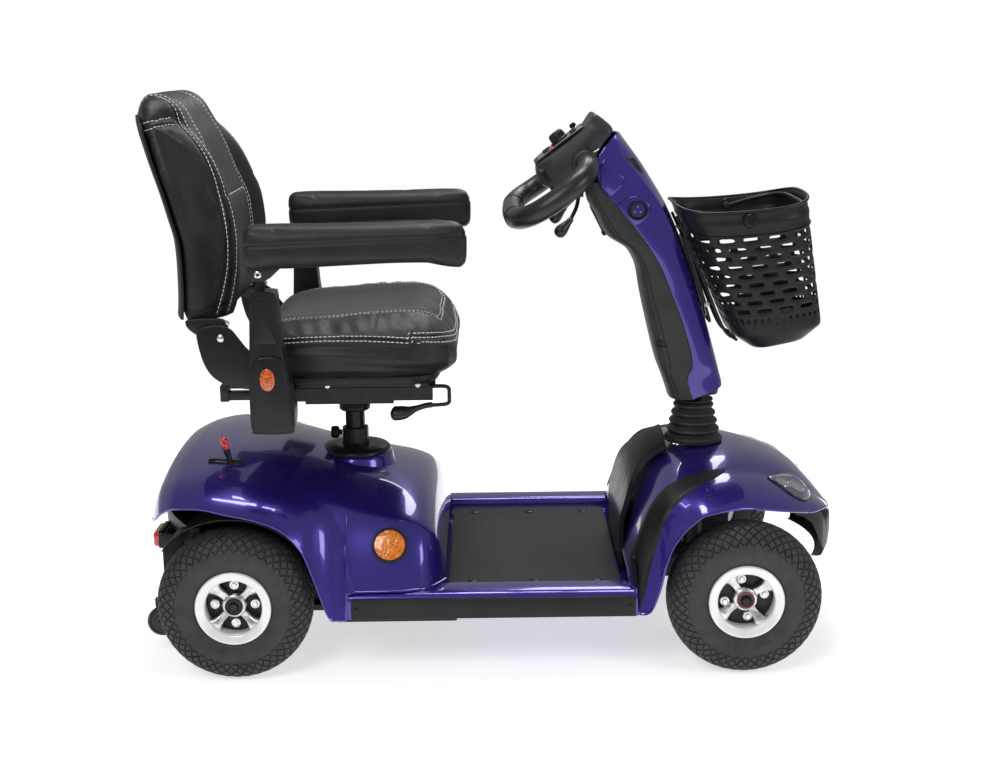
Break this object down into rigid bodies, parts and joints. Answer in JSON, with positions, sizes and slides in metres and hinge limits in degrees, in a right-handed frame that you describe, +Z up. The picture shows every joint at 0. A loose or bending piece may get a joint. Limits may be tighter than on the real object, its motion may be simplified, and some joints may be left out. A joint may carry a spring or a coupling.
{
  "type": "mobility scooter",
  "caption": "Four-wheeled electric mobility scooter with padded seat, folding armrests, tilting tiller with loop handlebar, front basket and flat deck.",
  "frame": {"origin": "on the floor, under the middle of the scooter's length and width", "axes": "+X forward, +Y to the rider's left, +Z up"},
  "size_m": [1.221, 0.589, 0.9684],
  "materials": {
    "blue_paint": "metallic gloss paint",
    "black_plastic": "grained",
    "grey_plastic": "grained",
    "steel_frame": "satin powder coat",
    "bright_steel": "zinc plated",
    "tyre_rubber": "matt",
    "soft_rubber": "matt",
    "white_rim": "white lacquer with bright spokes",
    "black_leather": "grained with white stitching",
    "amber_lens": "clear moulded",
    "red_lens": "clear moulded",
    "clear_lens": "clear moulded"
  },
  "bodies": {
    "chassis": {"main_frame": "steel_frame", "transaxle": "steel_frame", "battery_pack": "grey_plastic", "controller": "grey_plastic", "rear_cover": "blue_paint", "rear_bumper": "black_plastic", "tail_light_right": "red_lens", "tail_light_left": "red_lens", "floor_pan": "blue_paint", "floor_mat": "soft_rubber", "front_cover": "blue_paint", "knee_panel": "black_plastic", "front_bumper": "black_plastic", "headlight_right": "clear_lens", "headlight_left": "clear_lens", "indicator_right": "amber_lens", "indicator_left": "amber_lens"},
    "column": {"steering_stem": "steel_frame", "bellows": "soft_rubber"},
    "tiller": {"tiller_post": "steel_frame", "tiller_housing": "black_plastic", "tiller_cover": "blue_paint", "console": "grey_plastic", "handlebar": "soft_rubber", "basket_bracket": "steel_frame"},
    "throttle": {"throttle_lever": "black_plastic"},
    "dial": {"speed_dial": "black_plastic"},
    "key": {"ignition_key": "bright_steel"},
    "horn": {"horn_button": "black_plastic"},
    "tilt_handle": {"tilt_lever": "steel_frame"},
    "basket_body": {"basket": "black_plastic"},
    "basket_bow": {"basket_handle": "black_plastic"},
    "freewheel": {"freewheel_lever": "red_lens"},
    "knob": {"height_knob": "black_plastic"},
    "post": {"seat_stem": "steel_frame"},
    "turntable": {"swivel_base": "steel_frame"},
    "swivel_handle": {"swivel_lever": "black_plastic"},
    "seat": {"seat_pan": "black_plastic", "seat_cushion": "black_leather"},
    "slide_handle": {"slide_lever": "black_plastic"},
    "backrest": {"backrest_shell": "black_plastic", "backrest_cushion": "black_leather"},
    "rear_wheel_right": {"rear_tyre_right": "tyre_rubber", "rear_rim_right": "white_rim"},
    "front_wheel_right": {"front_tyre_right": "tyre_rubber", "front_rim_right": "white_rim"},
    "knuckle_right_body": {"knuckle_right": "steel_frame"},
    "tie_rod_right_body": {"tie_rod_right": "bright_steel"},
    "anti_tip_right": {"anti_tip_wheel_right": "soft_rubber"},
    "arm_post_right": {"armrest_post_right": "black_plastic"},
    "armrest_right_body": {"armrest_right": "black_leather"},
    "rear_wheel_left": {"rear_tyre_left": "tyre_rubber", "rear_rim_left": "white_rim"},
    "front_wheel_left": {"front_tyre_left": "tyre_rubber", "front_rim_left": "white_rim"},
    "knuckle_left_body": {"knuckle_left": "steel_frame"},
    "tie_rod_left_body": {"tie_rod_left": "bright_steel"},
    "anti_tip_left": {"anti_tip_wheel_left": "soft_rubber"},
    "arm_post_left": {"armrest_post_left": "black_plastic"},
    "armrest_left_body": {"armrest_left": "black_leather"}
  },
  "joints": [
    {"name": "steering", "type": "hinge", "parent": "chassis", "child": "column", "pos_m": [0.3565, 0, 0.1285], "axis": [0, 0, 1], "range_deg": [-32, 32]},
    {"name": "tiller_tilt", "type": "hinge", "parent": "column", "child": "tiller", "pos_m": [0.3565, 0, 0.425], "axis": [0, 1, 0], "range_deg": [-10, 15]},
    {"name": "throttle_rock", "type": "hinge", "parent": "tiller", "child": "throttle", "pos_m": [0.1495, 0, 0.781], "axis": [-0.5, 0, 0.866], "range_deg": [-12, 12], "stiffness_Nm_per_rad": 0.6},
    {"name": "dial_turn", "type": "hinge", "parent": "tiller", "child": "dial", "pos_m": [0.11906, 0, 0.86816], "axis": [-0.5967, 0, 0.8025], "range_deg": [-135, 135]},
    {"name": "key_turn", "type": "hinge", "parent": "tiller", "child": "key", "pos_m": [0.14558, 0.03, 0.88788], "axis": [-0.5967, 0, 0.8025], "range_deg": [0, 60]},
    {"name": "horn_press", "type": "slide", "parent": "tiller", "child": "horn", "axis": [0.5967, 0, -0.8025], "range_m": [0, 0.002], "stiffness_N_per_m": 600},
    {"name": "tilt_lever_pull", "type": "hinge", "parent": "tiller", "child": "tilt_handle", "pos_m": [0.188, 0, 0.708], "axis": [0, 1, 0], "range_deg": [-15, 0], "stiffness_Nm_per_rad": 0.5},
    {"name": "basket_lift", "type": "slide", "parent": "tiller", "child": "basket_body", "axis": [-0.36, 0, 0.933], "range_m": [0, 0.05]},
    {"name": "basket_handle_swing", "type": "hinge", "parent": "basket_body", "child": "basket_bow", "pos_m": [0.4275, 0, 0.744], "axis": [0, -1, 0], "range_deg": [0, 90]},
    {"name": "freewheel_shift", "type": "hinge", "parent": "chassis", "child": "freewheel", "pos_m": [-0.4535, -0.15, 0.33], "axis": [0, 1, 0], "range_deg": [0, 30]},
    {"name": "height_knob_turn", "type": "hinge", "parent": "chassis", "child": "knob", "pos_m": [-0.2775, 0, 0.355], "axis": [-1, 0, 0], "range_deg": [0, 180]},
    {"name": "seat_height", "type": "slide", "parent": "chassis", "child": "post", "axis": [0, 0, 1], "range_m": [0, 0.09]},
    {"name": "seat_swivel", "type": "hinge", "parent": "post", "child": "turntable", "pos_m": [-0.2535, 0, 0.4195], "axis": [0, 0, 1], "range_deg": [-12, 12]},
    {"name": "swivel_lever_pull", "type": "hinge", "parent": "turntable", "child": "swivel_handle", "pos_m": [-0.2035, 0.048, 0.425], "axis": [0, 0, 1], "range_deg": [0, 15], "stiffness_Nm_per_rad": 1},
    {"name": "seat_slide", "type": "slide", "parent": "turntable", "child": "seat", "axis": [1, 0, 0], "range_m": [-0.04, 0.05]},
    {"name": "slide_lever_pull", "type": "hinge", "parent": "seat", "child": "slide_handle", "pos_m": [-0.1135, -0.12, 0.4655], "axis": [-1, 0, 0], "range_deg": [0, 15], "stiffness_Nm_per_rad": 1},
    {"name": "backrest_fold", "type": "hinge", "parent": "seat", "child": "backrest", "pos_m": [-0.4485, 0, 0.572], "axis": [0, 1, 0], "range_deg": [0, 50]},
    {"name": "rear_wheel_right_spin", "type": "hinge", "parent": "chassis", "child": "rear_wheel_right", "pos_m": [-0.4385, -0.2505, 0.13], "axis": [0, 1, 0], "continuous": true},
    {"name": "knuckle_right_steer", "type": "hinge", "parent": "chassis", "child": "knuckle_right_body", "pos_m": [0.4115, -0.172, 0.13], "axis": [0, 0, 1], "range_deg": [-32, 32]},
    {"name": "front_wheel_right_spin", "type": "hinge", "parent": "knuckle_right_body", "child": "front_wheel_right", "pos_m": [0.4115, -0.2505, 0.13], "axis": [0, 1, 0], "continuous": true},
    {"name": "tie_rod_right_swing", "type": "hinge", "parent": "column", "child": "tie_rod_right_body", "pos_m": [0.3015, 0, 0.1285], "axis": [0, 0, 1], "range_deg": [-32, 32]},
    {"name": "anti_tip_right_spin", "type": "hinge", "parent": "chassis", "child": "anti_tip_right", "pos_m": [-0.5845, -0.1635, 0.062], "axis": [0, 1, 0], "continuous": true},
    {"name": "arm_width_right", "type": "slide", "parent": "seat", "child": "arm_post_right", "axis": [0, -1, 0], "range_m": [0, 0.03]},
    {"name": "armrest_right_flip", "type": "hinge", "parent": "arm_post_right", "child": "armrest_right_body", "pos_m": [-0.3725, -0.265, 0.685], "axis": [0, -1, 0], "range_deg": [0, 100]},
    {"name": "rear_wheel_left_spin", "type": "hinge", "parent": "chassis", "child": "rear_wheel_left", "pos_m": [-0.4385, 0.2505, 0.13], "axis": [0, 1, 0], "continuous": true},
    {"name": "knuckle_left_steer", "type": "hinge", "parent": "chassis", "child": "knuckle_left_body", "pos_m": [0.4115, 0.172, 0.13], "axis": [0, 0, 1], "range_deg": [-32, 32]},
    {"name": "front_wheel_left_spin", "type": "hinge", "parent": "knuckle_left_body", "child": "front_wheel_left", "pos_m": [0.4115, 0.2505, 0.13], "axis": [0, 1, 0], "continuous": true},
    {"name": "tie_rod_left_swing", "type": "hinge", "parent": "column", "child": "tie_rod_left_body", "pos_m": [0.3015, 0, 0.1285], "axis": [0, 0, 1], "range_deg": [-32, 32]},
    {"name": "anti_tip_left_spin", "type": "hinge", "parent": "chassis", "child": "anti_tip_left", "pos_m": [-0.5845, 0.1635, 0.062], "axis": [0, 1, 0], "continuous": true},
    {"name": "arm_width_left", "type": "slide", "parent": "seat", "child": "arm_post_left", "axis": [0, 1, 0], "range_m": [0, 0.03]},
    {"name": "armrest_left_flip", "type": "hinge", "parent": "arm_post_left", "child": "armrest_left_body", "pos_m": [-0.3725, 0.265, 0.685], "axis": [0, -1, 0], "range_deg": [0, 100]}
  ],
  "couplings": [
    {"joint": "knuckle_right_steer", "follows": "steering", "ratio": 1},
    {"joint": "tie_rod_right_swing", "follows": "steering", "ratio": -1},
    {"joint": "knuckle_left_steer", "follows": "steering", "ratio": 1},
    {"joint": "tie_rod_left_swing", "follows": "steering", "ratio": -1}
  ]
}
